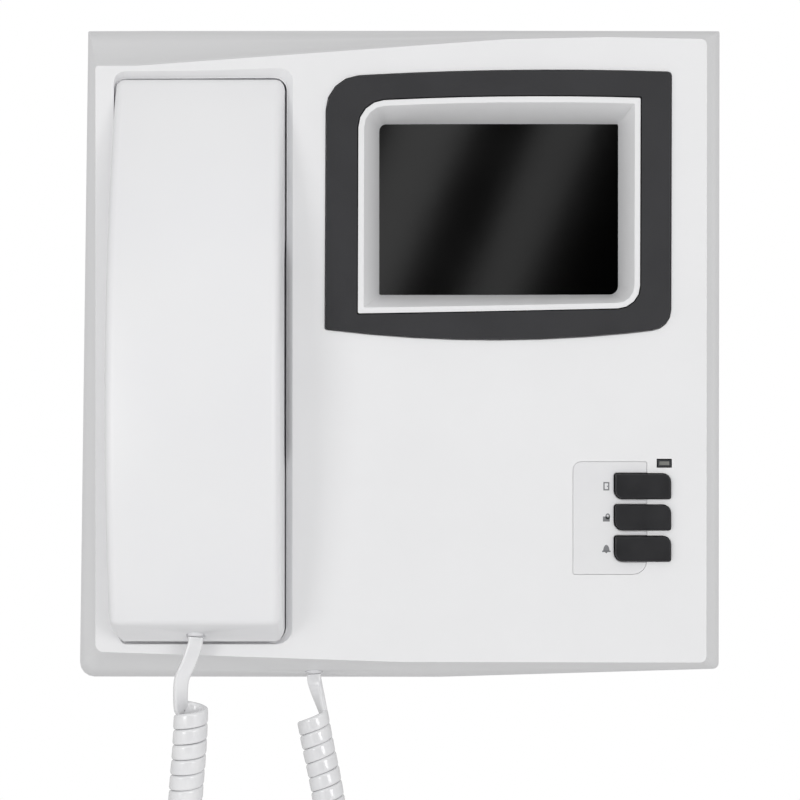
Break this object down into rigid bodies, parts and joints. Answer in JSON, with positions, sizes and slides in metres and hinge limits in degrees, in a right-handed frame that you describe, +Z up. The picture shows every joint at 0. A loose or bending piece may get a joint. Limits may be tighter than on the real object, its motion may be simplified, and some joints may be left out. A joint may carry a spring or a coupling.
{
  "type": "video intercom monitor",
  "caption": "Wall-mounted video door phone with a tube monitor behind a dark window, a lift-off handset on a curly cord and a column of push buttons.",
  "frame": {"origin": "centre of the wall bracket's back face, on the wall plane", "axes": "+X to the right seen from the front, +Y into the wall, +Z up; the screen faces -Y"},
  "size_m": [0.2197, 0.0709, 0.3484],
  "materials": {
    "case_white": "satin moulded, fine spark texture",
    "bezel_charcoal": "matt moulded, fine spark texture",
    "button_black": "semi-gloss",
    "window_black": "polished smoked acrylic",
    "tube_glass": "smooth",
    "zinc_steel": "zinc plated",
    "aluminium": "extruded",
    "copper_winding": "enamelled wire",
    "circuit_board": "phenolic paper board",
    "dark_plastic": "matt",
    "lens_grey": "smooth",
    "legend_grey": "satin film",
    "cord_vinyl": "glossy vinyl"
  },
  "bodies": {
    "base": {"wall_bracket": "zinc_steel", "rear_housing": "case_white", "front_housing": "case_white", "case_screw_1": "zinc_steel", "case_screw_2": "zinc_steel", "case_screw_3": "zinc_steel", "case_screw_4": "zinc_steel", "bezel_frame": "bezel_charcoal", "screen_mask": "case_white", "screen_window": "window_black", "picture_tube": "tube_glass", "deflection_yoke": "copper_winding", "tube_frame": "dark_plastic", "tube_socket_board": "circuit_board", "main_board": "circuit_board", "line_transformer": "dark_plastic", "heat_sink": "aluminium", "capacitor_1": "dark_plastic", "capacitor_2": "dark_plastic", "capacitor_3": "dark_plastic", "terminal_block": "dark_plastic", "call_speaker": "dark_plastic", "key_switch_1": "dark_plastic", "key_switch_2": "dark_plastic", "key_switch_3": "dark_plastic", "key_board": "circuit_board", "label_plate": "legend_grey", "pilot_lamp": "lens_grey", "lamp_lens": "lens_grey", "hook_spring": "zinc_steel", "hook_switch": "dark_plastic", "base_cord_bush": "cord_vinyl", "cord_coil": "cord_vinyl", "cord_base_lead": "cord_vinyl"},
    "handset": {"handset_front_shell": "case_white", "handset_back_shell": "case_white", "handset_screw_1": "zinc_steel", "handset_screw_2": "zinc_steel", "earpiece_capsule": "dark_plastic", "microphone_capsule": "dark_plastic", "ballast_weight": "zinc_steel", "handset_cord_bush": "cord_vinyl", "cord_handset_lead": "cord_vinyl"},
    "plunger": {"hook_plunger": "dark_plastic"},
    "view_key": {"view_button": "button_black"},
    "unlock_key": {"unlock_button": "button_black"},
    "alarm_key": {"alarm_button": "button_black"}
  },
  "joints": [
    {"name": "handset_lift", "type": "slide", "parent": "base", "child": "handset", "axis": [0, -0.9986, 0.0523], "range_m": [0, 0.06]},
    {"name": "hook_travel", "type": "slide", "parent": "base", "child": "plunger", "axis": [0, -1, 0], "range_m": [0, 0.005]},
    {"name": "view_press", "type": "slide", "parent": "base", "child": "view_key", "axis": [0, 1, 0], "range_m": [0, 0.0015], "stiffness_N_per_m": 250, "springref_m": -0.002},
    {"name": "unlock_press", "type": "slide", "parent": "base", "child": "unlock_key", "axis": [0, 1, 0], "range_m": [0, 0.0015], "stiffness_N_per_m": 250, "springref_m": -0.002},
    {"name": "alarm_press", "type": "slide", "parent": "base", "child": "alarm_key", "axis": [0, 1, 0], "range_m": [0, 0.0015], "stiffness_N_per_m": 250, "springref_m": -0.002}
  ],
  "couplings": [
    {"joint": "hook_travel", "follows": "handset_lift", "ratio": 0.0833}
  ]
}
